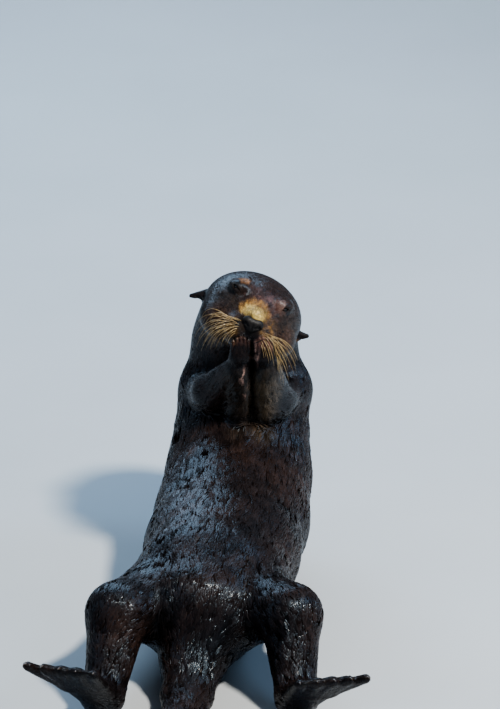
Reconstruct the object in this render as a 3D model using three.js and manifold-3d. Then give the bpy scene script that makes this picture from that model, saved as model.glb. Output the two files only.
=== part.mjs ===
// A life-size sea otter that lies on its back and sits up to eat, with both forepaws at its mouth.
//
// The body is one soft-edged form, built from tapered limbs and egg shapes that flow into each
// other, and parted by thin flat cuts into the parts a person would name. Millimetres, +Z up, the
// otter faces -Y, and its own left side is +X. The floor is z = 0, and the origin is on the floor
// in the middle of the flat of its back, under its centre of mass.
import * as THREE from "three";
import { mergeVertices } from "three/addons/utils/BufferGeometryUtils.js";
import Module from "manifold-3d";

const wasm = await Module();
wasm.setup();

// ---- Driving sizes --------------------------------------------------------------------------

const GAP = 0.4; // clearance between two parts that meet
const HAIR = 0.004; // corners closer than this are one
const SKULL_WIDTH = 148; // across the head above the ears, coat included
const EAR_HEIGHT = 370; // floor to the line between the ear roots
const HEAD_BACK = 25; // degrees that the head tips back
const HEAD_LEAN = 22.5; // degrees that the crown leans to the otter's left
const HEAD_TURN = 4; // degrees that the face turns to the otter's left
const HEAD_NOD = 11; // degrees that the face nods towards the paws
const EYE_RADIUS = 8;
const EYE_PROUD = 0.8; // how far the ball stands out of the fur
const EAR_LENGTH = 25;
const EAR_FOLDED = 21; // the left ear lies more folded
const FOOT_LENGTH = 186; // heel to the tip of the longest toe
const FOOT_SPREAD = 104; // across the toes of a hind foot
const TOES = 5;
const PAW_PLANE = 3; // x of the plane in which the two forepaws press together



// ---- Vectors --------------------------------------------------------------------------------

const V = (x, y, z) => new THREE.Vector3(x, y, z);
const mix = (a, b, t) => a + (b - a) * t;
const mirrored = (v, plane) => V(2 * plane - v.x, v.y, v.z);

// Grid steps of the faceted surfaces, finer where the form is.
const STEP = {
  head: V(13.3, 13.3, 13.3),
  neck: V(21, 21, 21),
  trunk: V(29, 29, 29),
  tail: V(16, 21, 13),
  arm: V(14, 14, 15),
  paw: V(9, 9, 10),
  leg: V(21, 21, 21),
  foot: V(12, 18, 7.5),
  ear: V(4.3, 4.3, 4.3),
  nose: V(5.5, 5.5, 5.5),
};

// ---- Soft forms: each is a function from a point to its distance outside the form -------------

// How far a point lies outside an ellipsoid, from its offsets along the three half-axes.
function outside(u, v, w, a, b, c) {
  const near = Math.hypot(u / a, v / b, w / c);
  const slope = Math.hypot(u / (a * a), v / (b * b), w / (c * c));
  return slope < 1e-6 ? -Math.min(a, b, c) : (near * (near - 1)) / slope;
}

// An egg shape with half-axes along X, Y and Z.
function egg(centre, [a, b, c]) {
  return (p) => outside(p.x - centre.x, p.y - centre.y, p.z - centre.z, a, b, c);
}

// A tapered limb. Its section is an ellipse, `wide` along `across` and `thick` along the third
// direction, each given at the start and at the end.
function limb(start, end, wide, thick = wide, across = V(1, 0, 0)) {
  const along = end.clone().sub(start);
  const length = along.length();
  along.divideScalar(length);
  const thin = along.clone().cross(across).normalize();
  const side = thin.clone().cross(along).normalize();
  const d = V();
  return (p) => {
    d.copy(p).sub(start);
    const reach = d.dot(along);
    const t = Math.min(Math.max(reach / length, 0), 1);
    const a = mix(wide[0], wide[1], t);
    const b = mix(thick[0], thick[1], t);
    return outside(d.dot(side), d.dot(thin), reach - t * length, a, b, Math.min(a, b));
  };
}

// Several forms flowing into one, with a fillet about `soft` wide between them.
function flow(forms, soft) {
  return (p) => {
    let far = forms[0](p);
    for (let i = 1; i < forms.length; i++) {
      const next = forms[i](p);
      const h = Math.min(Math.max(0.5 + (0.5 * (next - far)) / soft, 0), 1);
      far = mix(next, far, h) - soft * h * (1 - h);
    }
    return far;
  };
}

// A form given in a turned frame.
function placed(form, frame) {
  const back = frame.clone().invert();
  const local = V();
  return (p) => form(local.copy(p).applyMatrix4(back));
}

// ---- Surfaces and solids --------------------------------------------------------------------

// The lines of a grid that encloses some balls, each given as [centre, radius]. The grid lies along
// the axes of a frame, and `step` is its spacing along each of them.
const LEVEL = new THREE.Matrix4();
function gridAround(balls, step, frame = LEVEL) {
  const box = new THREE.Box3();
  const toFrame = frame.clone().invert();
  for (const [centre, radius] of balls) {
    const local = centre.clone().applyMatrix4(toFrame);
    const reach = step.clone().multiplyScalar(2).addScalar(radius);
    box.union(new THREE.Box3(local.clone().sub(reach), local.clone().add(reach)));
  }
  const lines = ["x", "y", "z"].map((axis) => {
    const count = Math.ceil((box.max[axis] - box.min[axis]) / step[axis]);
    return [...Array(count + 1).keys()].map((i) => box.min[axis] + i * step[axis]);
  });
  return { lines, frame };
}

const slopeAt = (form, p, h = 0.5) =>
  V(
    form(V(p.x + h, p.y, p.z)) - form(V(p.x - h, p.y, p.z)),
    form(V(p.x, p.y + h, p.z)) - form(V(p.x, p.y - h, p.z)),
    form(V(p.x, p.y, p.z + h)) - form(V(p.x, p.y, p.z - h)),
  ).divideScalar(2 * h);

// Moves a point onto the surface of a form.
function settle(form, p, rounds = 3) {
  for (let i = 0; i < rounds; i++) {
    const slope = slopeAt(form, p);
    p.addScaledVector(slope, -form(p) / Math.max(slope.lengthSq(), 0.05));
  }
  return p;
}

// The closed surface of a form: one corner in each grid cell that it crosses, and one square
// around each grid edge that it crosses.
function surfaceOf(form, { lines: [xs, ys, zs], frame }) {
  const [nx, ny, nz] = [xs.length, ys.length, zs.length];
  const at = (i, j, k) => (k * ny + j) * nx + i;
  const value = new Float64Array(nx * ny * nz);
  const p = V();
  for (let k = 0; k < nz; k++)
    for (let j = 0; j < ny; j++)
      for (let i = 0; i < nx; i++) value[at(i, j, k)] = form(p.set(xs[i], ys[j], zs[k]).applyMatrix4(frame));
  const axes = [
    [1, 0, 0],
    [0, 1, 0],
    [0, 0, 1],
  ];
  const corners = [];
  const cornerOf = new Map();
  for (let k = 0; k < nz - 1; k++)
    for (let j = 0; j < ny - 1; j++)
      for (let i = 0; i < nx - 1; i++) {
        const sum = V();
        let crossings = 0;
        axes.forEach(([dx, dy, dz], axis) => {
          for (const s of [0, 1])
            for (const t of [0, 1]) {
              const [u, v] = axes.filter((_, other) => other !== axis);
              const a = [i + s * u[0] + t * v[0], j + s * u[1] + t * v[1], k + s * u[2] + t * v[2]];
              const b = [a[0] + dx, a[1] + dy, a[2] + dz];
              const [fa, fb] = [value[at(...a)], value[at(...b)]];
              if (fa < 0 === fb < 0) continue;
              const from = V(xs[a[0]], ys[a[1]], zs[a[2]]);
              sum.add(from.lerp(V(xs[b[0]], ys[b[1]], zs[b[2]]), fa / (fa - fb)));
              crossings++;
            }
        });
        if (!crossings) continue;
        cornerOf.set(at(i, j, k), corners.length);
        corners.push(settle(form, sum.divideScalar(crossings).applyMatrix4(frame)));
      }
  const index = [];
  for (let k = 1; k < nz - 1; k++)
    for (let j = 1; j < ny - 1; j++)
      for (let i = 1; i < nx - 1; i++)
        axes.forEach(([dx, dy, dz], axis) => {
          const inside = value[at(i, j, k)] < 0;
          if (inside === value[at(i + dx, j + dy, k + dz)] < 0) return;
          const u = axes[(axis + 1) % 3];
          const v = axes[(axis + 2) % 3];
          const ring = [
            [0, 0],
            [1, 0],
            [1, 1],
            [0, 1],
          ].map(([s, t]) =>
            cornerOf.get(at(i - s * u[0] - t * v[0], j - s * u[1] - t * v[1], k - s * u[2] - t * v[2])),
          );
          if (!inside) ring.reverse();
          const [a, b, c, d] = ring;
          if (corners[a].distanceTo(corners[c]) < corners[b].distanceTo(corners[d]))
            index.push(a, b, c, a, c, d);
          else index.push(a, b, d, b, c, d);
        });
  const geometry = new THREE.BufferGeometry().setFromPoints(corners);
  geometry.setIndex(index);
  return geometry;
}

function solidFrom(geometry, frame = new THREE.Matrix4()) {
  const bare = new THREE.BufferGeometry();
  bare.setAttribute("position", geometry.getAttribute("position").clone());
  bare.setIndex(geometry.index);
  const merged = mergeVertices(bare.applyMatrix4(frame), 1e-4);
  return new wasm.Manifold(
    new wasm.Mesh({
      numProp: 3,
      vertProperties: merged.attributes.position.array,
      triVerts: new Uint32Array(merged.index.array),
    }),
  );
}

// A solid's geometry, in which corners that a cut left closer than a hair are one corner.
function geometryOf(solid) {
  const { vertProperties, triVerts, numProp } = solid.getMesh();
  const corners = [];
  const cornerOf = [];
  for (let i = 0; i < vertProperties.length; i += numProp) {
    const here = V(...vertProperties.subarray(i, i + 3));
    const same = corners.findIndex((corner) => corner.distanceToSquared(here) < HAIR * HAIR);
    cornerOf.push(same < 0 ? corners.push(here) - 1 : same);
  }
  const index = [];
  for (let i = 0; i < triVerts.length; i += 3) {
    const [a, b, c] = [0, 1, 2].map((turn) => cornerOf[triVerts[i + turn]]);
    if (a !== b && b !== c && c !== a) index.push(a, b, c);
  }
  return new THREE.BufferGeometry().setFromPoints(corners).setIndex(index);
}

// The same solid with its surface pushed out by `by`, for cutting a neighbour with clearance.
function grown(geometry, by = GAP, frame = new THREE.Matrix4()) {
  const wider = mergeVertices(geometry.clone().deleteAttribute("uv").deleteAttribute("normal"), 1e-4);
  wider.computeVertexNormals();
  const { position, normal } = wider.attributes;
  for (let i = 0; i < position.count; i++)
    position.setXYZ(
      i,
      position.getX(i) + by * normal.getX(i),
      position.getY(i) + by * normal.getY(i),
      position.getZ(i) + by * normal.getZ(i),
    );
  return solidFrom(wider, frame);
}

// Everything on the side of a plane that `towards` points to, from half a gap off the plane.
function halfSpace(point, towards) {
  const reach = 2000;
  const box = new THREE.BoxGeometry(reach, reach, reach);
  const way = towards.clone().normalize();
  const turn = new THREE.Quaternion().setFromUnitVectors(V(0, 0, 1), way);
  const centre = point.clone().addScaledVector(way, (reach + GAP) / 2);
  return solidFrom(box, new THREE.Matrix4().compose(centre, turn, V(1, 1, 1)));
}

// The biggest piece of a solid, without the crumbs that a cut can leave.
const mainBody = (solid) =>
  solid.decompose().reduce((best, one) => (one.volume() > best.volume() ? one : best));

// One length of a form between flat cuts. Each cut is [point, direction into the part]. The part
// gives its surface, which runs a little past the cuts, and its solid, which ends at them.
function lengthOf(form, balls, step, cuts, frame) {
  const ways = cuts.map(([point, way]) => [point, way.clone().normalize()]);
  const offset = V();
  const spare = 1.6 * Math.max(...step.toArray());
  const beyond = (p, [point, way]) => -offset.copy(p).sub(point).dot(way) - spare;
  const reach = (p) => ways.reduce((far, cut) => Math.max(far, beyond(p, cut)), form(p));
  const surface = surfaceOf(reach, gridAround(balls, step, frame));
  const solid = ways.reduce((all, cut) => all.intersect(halfSpace(...cut)), solidFrom(surface));
  return { surface, solid };
}
const flipped = ([point, way]) => [point, way.clone().negate()];

// ---- Colours --------------------------------------------------------------------------------

const paint = (colour, roughness) =>
  new THREE.MeshStandardMaterial({ color: colour, roughness, metalness: 0 });
const COAT = paint(0x2a211b, 0.45);
const FACE_COAT = paint(0x3b2e23, 0.45);
const FOOT_SKIN = paint(0x1d1917, 0.5);
const NOSE_SKIN = paint(0x121112, 0.35);
const EYE_GLOSS = paint(0x0b0807, 0.1);

const otter = new THREE.Group();
otter.position.set(35, -50, 0); // from the point that the body is laid out from to the origin

function add(name, solid, material) {
  const mesh = new THREE.Mesh(geometryOf(solid), material);
  mesh.name = name;
  otter.add(mesh);
}

// ---- Head: a low broad dome, a short blunt muzzle with full whisker pads, a small chin ---------

const earLine = V(3, 250, EAR_HEIGHT);
const degrees = THREE.MathUtils.degToRad;
const headTilt = new THREE.Euler(degrees(-HEAD_BACK), degrees(HEAD_LEAN), degrees(HEAD_TURN));
const headFrame = new THREE.Matrix4()
  .makeRotationFromEuler(headTilt)
  .multiply(new THREE.Matrix4().makeRotationX(degrees(HEAD_NOD)))
  .setPosition(earLine);
const onHead = (x, y, z) => V(x, y, z).applyMatrix4(headFrame);
const bothSides = (make) => [-1, 1].map(make);

const headForm = flow(
  [
    egg(V(0, -12, 2), [SKULL_WIDTH / 2, 82, 57]),
    ...bothSides((s) => egg(V(s * 39, -44, -16), [35, 38, 31])),
    egg(V(0, -78, -3), [35, 34, 24]),
    ...bothSides((s) => egg(V(s * 18, -93, -12), [20, 20, 17])),
    limb(V(0, -52, 33), V(0, -98, 13), [19, 14]),
    ...bothSides((s) => egg(V(s * 30, -54, 38), [20, 18, 10])),
    egg(V(0, -66, -32), [25, 26, 16]),
  ],
  9,
);

// ---- Trunk: the spine's stations, from the nape to the root of the tail ------------------------

const station = (x, y, z, wide, thick) => ({ at: V(x, y, z), wide, thick });
const nape = station(-6, 272, 344, 69, 64);
const neckMiddle = station(-8, 283, 314, 71, 65);
const withers = station(-8, 285, 284, 72, 66);
const shoulders = station(-8, 274, 244, 82, 76);
const ribs = station(-11, 245, 190, 95, 87);
const waist = station(-16, 188, 140, 104, 95);
const belly = station(-26, 108, 106, 110, 104);
const loins = station(-40, 15, 100, 110, 99);
const hips = station(-54, -75, 95, 106, 94);
const rump = station(-68, -148, 84, 84, 80);
const tailRoot = station(-79, -212, 48, 47, 43);
const tailQuarter = station(-88, -282, 23, 38, 26);
const tailHalf = station(-92, -350, 19, 33, 21);
const tailLast = station(-84, -420, 16, 26, 18);
const tailTip = station(-66, -484, 13, 15, 13);

const spine = [nape, neckMiddle, withers, shoulders, ribs, waist, belly, loins, hips, rump, tailRoot];
const tail = [tailRoot, tailQuarter, tailHalf, tailLast, tailTip];
const chain = (stations) =>
  stations
    .slice(1)
    .map((b, i) => [stations[i], b])
    .map(([a, b]) => limb(a.at, b.at, [a.wide, b.wide], [a.thick, b.thick]));

const shoulderOut = 60;
const shoulderJoint = (s) => V(withers.at.x + s * shoulderOut + 2, 262, 241);
const hipOut = 62;
const hipJoint = (s) => V(rump.at.x + s * hipOut, -122, 92);

const bodyForm = flow(
  [
    flow(chain(spine), 24),
    flow(chain(tail), 12),
    placed(headForm, headFrame),
    ...bothSides((s) => egg(shoulderJoint(s), [38, 42, 40])),
    ...bothSides((s) => egg(hipJoint(s), [56, 74, 62])),
  ],
  20,
);

// The cuts between the lengths of the body, each with its direction towards the head.
const cutUnderHead = [V(0, 266, 334), V(0, -0.42, 0.91)];
const cutAboveChest = [V(-6, 281, 288), V(0, 0.1, 1)];
const cutUnderRibs = [V(-13, 218, 166), V(0, 0.75, 0.66)];
const cutAboveHips = [V(-46, -22, 98), V(-0.15, 1, 0)];
const cutAtTail = [V(-80, -222, 44), V(-0.12, 1, 0.45)];

const ballOf = ({ at, wide }) => [at, wide];
const headBalls = [[onHead(0, -20, 0), 96], [onHead(0, -95, -8), 30]];
const armRoots = bothSides((s) => [shoulderJoint(s), 50]);
const legRoots = bothSides((s) => [hipJoint(s), 74]);
const neckBalls = [...headBalls, ballOf(nape), ballOf(withers), ...armRoots];
const chestBalls = [...armRoots, ...[neckMiddle, shoulders, ribs, waist].map(ballOf)];
const bellyBalls = [ribs, waist, belly, loins, hips].map(ballOf);
const hipBalls = [...legRoots, ...[loins, hips, rump, tailRoot, tailQuarter].map(ballOf)];
const tailBalls = [rump, ...tail].map(ballOf);

const lengths = {
  head: lengthOf(bodyForm, headBalls, STEP.head, [cutUnderHead]),
  neck: lengthOf(bodyForm, neckBalls, STEP.neck, [flipped(cutUnderHead), cutAboveChest]),
  chest: lengthOf(bodyForm, chestBalls, STEP.trunk, [flipped(cutAboveChest), cutUnderRibs]),
  belly: lengthOf(bodyForm, bellyBalls, STEP.trunk, [flipped(cutUnderRibs), cutAboveHips]),
  hips: lengthOf(bodyForm, hipBalls, STEP.trunk, [flipped(cutAboveHips), cutAtTail]),
  tail: lengthOf(bodyForm, tailBalls, STEP.tail, [flipped(cutAtTail)]),
};
const aboveFloor = halfSpace(V(0, 0, -GAP / 2), V(0, 0, 1));
const clearOf = (solid, names) =>
  names.reduce((left, name) => left.subtract(grown(lengths[name].surface)), solid);

// ---- Eyes: small round balls, set wide and high on the face -----------------------------------

const eyeOnFace = (s) => (s < 0 ? V(-40, -72, 38) : V(37.5, -73, 35));
const eyeAt = (s) => {
  const onFace = settle(headForm, eyeOnFace(s), 6);
  return onFace.add(V(-s * 0.5, 0.82, -0.1).normalize().multiplyScalar(EYE_RADIUS - EYE_PROUD));
};
const eyeBall = new THREE.SphereGeometry(EYE_RADIUS, 11, 7);
const eyeFrame = (s) =>
  new THREE.Matrix4().makeTranslation(...eyeAt(s).applyMatrix4(headFrame).toArray());

// ---- Nose: a broad bare pad, wider than high ---------------------------------------------------

const noseForm = flow(
  [
    ...bothSides((s) => egg(V(s * 7, -108, 6), [9.5, 8, 8])),
    egg(V(0, -108, 0), [9, 8, 10]),
  ],
  6,
);
const noseBalls = bothSides((s) => [V(s * 7, -108, 3), 13]);
const noseSurface = surfaceOf(noseForm, gridAround(noseBalls, STEP.nose));

const sockets = bothSides((s) => grown(eyeBall, GAP, eyeFrame(s)));
lengths.head.solid = [...sockets, grown(noseSurface, GAP, headFrame)].reduce(
  (solid, socket) => solid.subtract(socket),
  lengths.head.solid,
);
for (const [name, { solid }] of Object.entries(lengths))
  add(name, mainBody(solid.intersect(aboveFloor)), name === "head" ? FACE_COAT : COAT);

add("right_eye", solidFrom(eyeBall, eyeFrame(-1)), EYE_GLOSS);
add("left_eye", solidFrom(eyeBall, eyeFrame(1)), EYE_GLOSS);
add("nose", solidFrom(noseSurface, headFrame), NOSE_SKIN);

// ---- Ears: small pointed leaves, rolled like a valve, low on the sides of the head --------------

const earRoot = (s) => V(s * (SKULL_WIDTH / 2 - 3), 2, s < 0 ? -3 : -8);
const earWay = (s) => (s < 0 ? V(-0.9, 0.3, -0.5) : V(0.9, 0.3, 0.26)).normalize();
const earTip = (s) => earRoot(s).addScaledVector(earWay(s), s < 0 ? EAR_LENGTH : EAR_FOLDED);
const earForm = (s) => {
  const leaf = limb(earRoot(s), earTip(s), [9.2, 3], [6.5, 3], V(0, 0.35, 1));
  const bowl = egg(earRoot(s).addScaledVector(earWay(s), 11).add(V(0, -9, -2)), [11, 5, 5]);
  return (p) => Math.max(leaf(p), -bowl(p));
};

// ---- Forelimbs: upper arms along the chest, forearms upright, paws side by side at the mouth ----

const elbow = (s) => (s < 0 ? V(-56, 188, 270) : V(38, 189, 259));
const wrist = V(-19, 148, 327);
const pawMiddle = V(-13.5, 140, 350);
const pawTip = V(-12.5, 137, 374);
const innerElbow = V(-17, 174, 252); // the two arms' inner sides press together
const innerWrist = V(-15, 152, 314);

function armForm(s) {
  const place = (v) => (s < 0 ? v.clone() : mirrored(v, PAW_PLANE));
  const fore = V(0.25 * s, 1, 0);
  return flow(
    [
      limb(shoulderJoint(s), elbow(s), [37, 29]),
      limb(elbow(s), place(wrist), [29, 16], [29, 18], fore),
      limb(place(wrist), place(pawMiddle), [15, 12], [17, 16], fore),
      limb(place(pawMiddle), place(pawTip), [12, 8.5], [16, 14], fore),
      limb(place(innerElbow), place(innerWrist), [27, 19]),
    ],
    8,
  );
}

// ---- Hind limbs: a short shank, and a long webbed foot that is widest at the toes ----------------

const rightLeg = {
  knee: V(-184, -192, 106),
  heel: V(-204, -286, 24),
  toward: V(-0.34, -0.7, 0.63),
  across: V(-0.92, 0.36, -0.12),
};
const leftLeg = {
  knee: V(56, -196, 106),
  heel: V(64, -290, 24),
  toward: V(0.3, -0.76, 0.57),
  across: V(0.92, 0.34, -0.14),
};

// The toes fan out, and each is longer than the one inside it.
function toeLine(leg, toe) {
  const share = toe / (TOES - 1);
  const way = leg.toward.clone().normalize();
  const side = leg.across.clone().normalize();
  const root = leg.heel.clone().addScaledVector(way, 0.42 * FOOT_LENGTH);
  root.addScaledVector(side, mix(-0.24, 0.24, share) * FOOT_SPREAD);
  const tip = leg.heel.clone().addScaledVector(way, mix(0.8, 0.96, share) * FOOT_LENGTH);
  tip.addScaledVector(side, mix(-0.42, 0.42, share) * FOOT_SPREAD);
  return { root, tip };
}

const footForm = (leg) => {
  const way = leg.toward.clone().normalize();
  const ball = leg.heel.clone().addScaledVector(way, 0.45 * FOOT_LENGTH);
  const webEnd = leg.heel.clone().addScaledVector(way, 0.78 * FOOT_LENGTH);
  const toes = [...Array(TOES).keys()].map((toe) => {
    const { root, tip } = toeLine(leg, toe);
    return limb(root, tip, [11, 8], [9, 7], leg.across);
  });
  return flow(
    [
      limb(leg.heel, ball, [26, 36], [25, 14], leg.across),
      limb(ball, webEnd, [36, 44], [13, 6], leg.across),
      ...toes,
    ],
    7,
  );
};
const legForm = (leg, s) =>
  flow(
    [
      limb(hipJoint(s), leg.knee, [62, 44]),
      limb(leg.knee, leg.heel, [44, 27], [44, 26]),
      footForm(leg),
    ],
    16,
  );

// The foot's own frame: X across the toes, Y towards their tips, Z off the sole.
function footFrame(leg) {
  const way = leg.toward.clone().normalize();
  const off = leg.across.clone().cross(way).normalize();
  const basis = new THREE.Matrix4().makeBasis(way.clone().cross(off), way, off);
  return basis.setPosition(leg.heel);
}

for (const [side, s, leg] of [
  ["right", -1, rightLeg],
  ["left", 1, leftLeg],
]) {
  const earBalls = [[earRoot(s), 11], [earTip(s), 5]];
  const ear = solidFrom(surfaceOf(earForm(s), gridAround(earBalls, STEP.ear)), headFrame);
  add(side + "_ear", mainBody(clearOf(ear, ["head", "neck"])), COAT);

  const here = (v) => (s < 0 ? v.clone() : mirrored(v, PAW_PLANE));
  const ownSide = [V(PAW_PLANE, 0, 0), V(s, 0, 0)];
  const cutAtElbow = [elbow(s).add(V(0, 0, 8)), V(0, 0.8, -0.6)];
  const cutAtWrist = [here(wrist), elbow(s).sub(here(pawMiddle))];
  const elbowBalls = [[elbow(s), 36], [here(wrist), 22]];
  const innerBall = [here(innerElbow), 31];
  const armParts = {
    upper_arm: [[[shoulderJoint(s), 42], ...elbowBalls, innerBall], STEP.arm, [cutAtElbow]],
    forearm: [[...elbowBalls, innerBall], STEP.arm, [flipped(cutAtElbow), cutAtWrist]],
    forepaw: [[...elbowBalls, [here(pawTip), 22]], STEP.paw, [flipped(cutAtWrist)]],
  };
  for (const [part, [balls, step, cuts]] of Object.entries(armParts)) {
    const { solid } = lengthOf(armForm(s), balls, step, [...cuts, ownSide]);
    const colour = part === "forepaw" ? FOOT_SKIN : COAT;
    add(side + "_" + part, mainBody(clearOf(solid, ["head", "neck", "chest", "belly"])), colour);
  }

  const bend = leg.knee.clone().sub(leg.heel).normalize().sub(leg.toward).normalize();
  const cutAtAnkle = [leg.heel.clone().addScaledVector(bend, -16), bend];
  const heelBalls = [[leg.heel, 30], [leg.heel.clone().addScaledVector(leg.toward, 60), 40]];
  const toeBalls = [0, TOES - 1].map((toe) => [toeLine(leg, toe).tip, 12]);
  const legParts = {
    hind_leg: [[[hipJoint(s), 66], [leg.knee, 48], ...heelBalls], STEP.leg, [cutAtAnkle]],
    hind_foot: [[...heelBalls, ...toeBalls], STEP.foot, [flipped(cutAtAnkle)], footFrame(leg)],
  };
  for (const [part, [balls, step, cuts, frame]] of Object.entries(legParts)) {
    const { solid } = lengthOf(legForm(leg, s), balls, step, cuts, frame);
    const colour = part === "hind_foot" ? FOOT_SKIN : COAT;
    const clear = clearOf(solid.intersect(aboveFloor), ["belly", "hips", "tail"]);
    add(side + "_" + part, mainBody(clear), colour);
  }
}

export default otter;
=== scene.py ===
import math

import bmesh
import bpy
import numpy as np
from mathutils import Matrix, Vector, kdtree


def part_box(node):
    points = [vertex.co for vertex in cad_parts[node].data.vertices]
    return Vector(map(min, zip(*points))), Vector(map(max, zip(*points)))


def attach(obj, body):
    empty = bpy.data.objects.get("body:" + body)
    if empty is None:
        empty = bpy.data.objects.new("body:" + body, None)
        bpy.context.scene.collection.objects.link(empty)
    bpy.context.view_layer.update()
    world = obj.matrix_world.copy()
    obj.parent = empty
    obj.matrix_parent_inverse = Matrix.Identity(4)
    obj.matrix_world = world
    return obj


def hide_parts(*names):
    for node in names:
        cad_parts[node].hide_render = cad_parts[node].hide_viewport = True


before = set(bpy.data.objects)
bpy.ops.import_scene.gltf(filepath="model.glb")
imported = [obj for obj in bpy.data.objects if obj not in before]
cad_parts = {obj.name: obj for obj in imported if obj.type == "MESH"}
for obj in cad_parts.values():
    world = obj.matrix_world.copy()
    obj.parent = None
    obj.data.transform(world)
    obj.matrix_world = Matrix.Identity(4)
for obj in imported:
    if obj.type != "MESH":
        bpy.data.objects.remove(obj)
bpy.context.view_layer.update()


# ---- Camera ---------------------------------------------------------------------------------
# A long lens, a little above the otter and square to it. The head sits above the middle of the
# picture, and the belly and hind feet come towards the camera below it.

CAMERA_HEIGHT = math.radians(25)
CAMERA_AWAY = 9.0
SENSOR_WIDTH = 36
PICTURE_WIDTH = 0.725  # of what the picture takes in at the head
HEAD_OVER_MIDDLE = 0.0616  # the middle of the ear line, above the middle of the picture
HEAD_BESIDE_MIDDLE = 0.0029

ear_line = Vector((0.038, 0.200, 0.370))  # its middle, halfway between the roots of the ears
camera = bpy.data.objects.new("camera", bpy.data.cameras.new("camera"))
bpy.context.scene.collection.objects.link(camera)
camera.data.sensor_fit = "HORIZONTAL"
camera.data.sensor_width = SENSOR_WIDTH
camera.data.lens = SENSOR_WIDTH * CAMERA_AWAY / PICTURE_WIDTH
camera.data.clip_end = 50
camera.rotation_euler = (math.pi / 2 - CAMERA_HEIGHT, 0, 0)
to_camera = Vector((0, -math.cos(CAMERA_HEIGHT), math.sin(CAMERA_HEIGHT)))
picture_up = Vector((0, math.sin(CAMERA_HEIGHT), math.cos(CAMERA_HEIGHT)))
looked_at = ear_line - Vector((HEAD_BESIDE_MIDDLE, 0, 0)) - HEAD_OVER_MIDDLE * picture_up
camera.location = looked_at + CAMERA_AWAY * to_camera
bpy.context.scene.camera = camera
bpy.context.scene.view_settings.look = "AgX - Medium High Contrast"


# ---- The otter's flesh ----------------------------------------------------------------------
# Skull, spine and limbs carry one soft form. Egg shapes and tapered limbs flow into each other,
# and each is a function from points to how far they lie outside it, in metres. The sizes are the
# solids' own, in millimetres from the point that the body is laid out from.

LAID_OUT = np.array([35.0, -50.0, 0.0])
FAR = 1.0
HEED = 0.045  # a form is worked out this far around it


def spot(x, y, z):
    """A place on the body, in metres."""
    return (np.array([x, y, z]) + LAID_OUT) / 1000


def unit(v):
    return v / np.linalg.norm(v)


def outside(offsets, radii):
    """How far points lie outside an ellipsoid, from their offsets along its half-axes."""
    near = np.sqrt(((offsets / radii) ** 2).sum(axis=1))
    slope = np.sqrt(((offsets / radii**2) ** 2).sum(axis=1))
    return near * (near - 1) / np.maximum(slope, 1e-6)


def egg(centre, radii):
    """An egg shape about a centre in metres, with half-axes in millimetres."""
    radii = np.array(radii) / 1000

    def form(p):
        far = np.full(len(p), FAR)
        near = (np.abs(p - centre) < radii + HEED).all(axis=1)
        far[near] = outside(p[near] - centre, radii)
        return far

    return form


def limb(start, end, wide, thick=None, across=(1, 0, 0)):
    """A tapered limb. Its section is `wide` along `across` and `thick` the other way, in
    millimetres at the start and at the end."""
    wide = np.array(wide) / 1000
    thick = wide if thick is None else np.array(thick) / 1000
    along = end - start
    length = np.linalg.norm(along)
    along = along / length
    thin = unit(np.cross(along, across))
    side = np.cross(thin, along)
    low = np.minimum(start, end) - max(wide.max(), thick.max()) - HEED
    high = np.maximum(start, end) + max(wide.max(), thick.max()) + HEED

    def form(p):
        far = np.full(len(p), FAR)
        near = ((p > low) & (p < high)).all(axis=1)
        d = p[near] - start
        reach = d @ along
        t = np.clip(reach / length, 0, 1)
        a = wide[0] + (wide[1] - wide[0]) * t
        b = thick[0] + (thick[1] - thick[0]) * t
        offsets = np.stack([d @ side, d @ thin, reach - t * length], axis=1)
        far[near] = outside(offsets, np.stack([a, b, np.minimum(a, b)], axis=1))
        return far

    return form


def merged(a, b, soft):
    """Two distances flowing into one, with a fillet about `soft` wide, in metres."""
    h = np.clip(0.5 + 0.5 * (b - a) / soft, 0, 1)
    return b + (a - b) * h - soft * h * (1 - h)


def flow(forms, soft):
    """Several forms flowing into one, with fillets in millimetres."""

    def form(p):
        far = forms[0](p)
        for one in forms[1:]:
            far = merged(far, one(p), soft / 1000)
        return far

    return form


def both_sides(make):
    return [make(-1), make(1)]


def turned(axis, degrees):
    return np.array(Matrix.Rotation(math.radians(degrees), 3, axis))


# The head leans to the otter's left, and its face nods towards the paws.
HEAD_BACK, HEAD_LEAN, HEAD_TURN, HEAD_NOD = 25, 22.5, 4, 11
HEAD_AXES = turned("X", -HEAD_BACK) @ turned("Y", HEAD_LEAN)
HEAD_AXES = HEAD_AXES @ turned("Z", HEAD_TURN) @ turned("X", HEAD_NOD)
HEAD_AT = np.array(ear_line)
HEAD_REACH = 0.2


def in_head(p):
    return (p - HEAD_AT) @ HEAD_AXES


def from_head(p):
    return np.asarray(p) @ HEAD_AXES.T + HEAD_AT


def on_head(form):
    """A form given in the head's own frame: X to its left, -Y out of the face, Z up."""

    def placed(p):
        far = np.full(len(p), FAR)
        near = (np.abs(p - HEAD_AT) < HEAD_REACH).all(axis=1)
        far[near] = form(in_head(p[near]))
        return far

    return placed


def at(x, y, z):
    """A place in the head's own frame, in metres."""
    return np.array([x, y, z]) / 1000


# The braincase, the cheeks, the muzzle, the whisker pads, the bridge, the brows and the chin.
skull = flow(
    [egg(at(0, -12, 2), (74, 82, 57))]
    + both_sides(lambda s: egg(at(s * 39, -44, -16), (35, 38, 31)))
    + [egg(at(0, -78, -3), (35, 34, 24))]
    + both_sides(lambda s: egg(at(s * 18, -93, -12), (20, 20, 17)))
    + [limb(at(0, -52, 33), at(0, -98, 13), (19, 14))]
    + both_sides(lambda s: egg(at(s * 30, -54, 38), (20, 18, 10)))
    + [egg(at(0, -66, -32), (25, 26, 16))],
    9,
)

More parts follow.
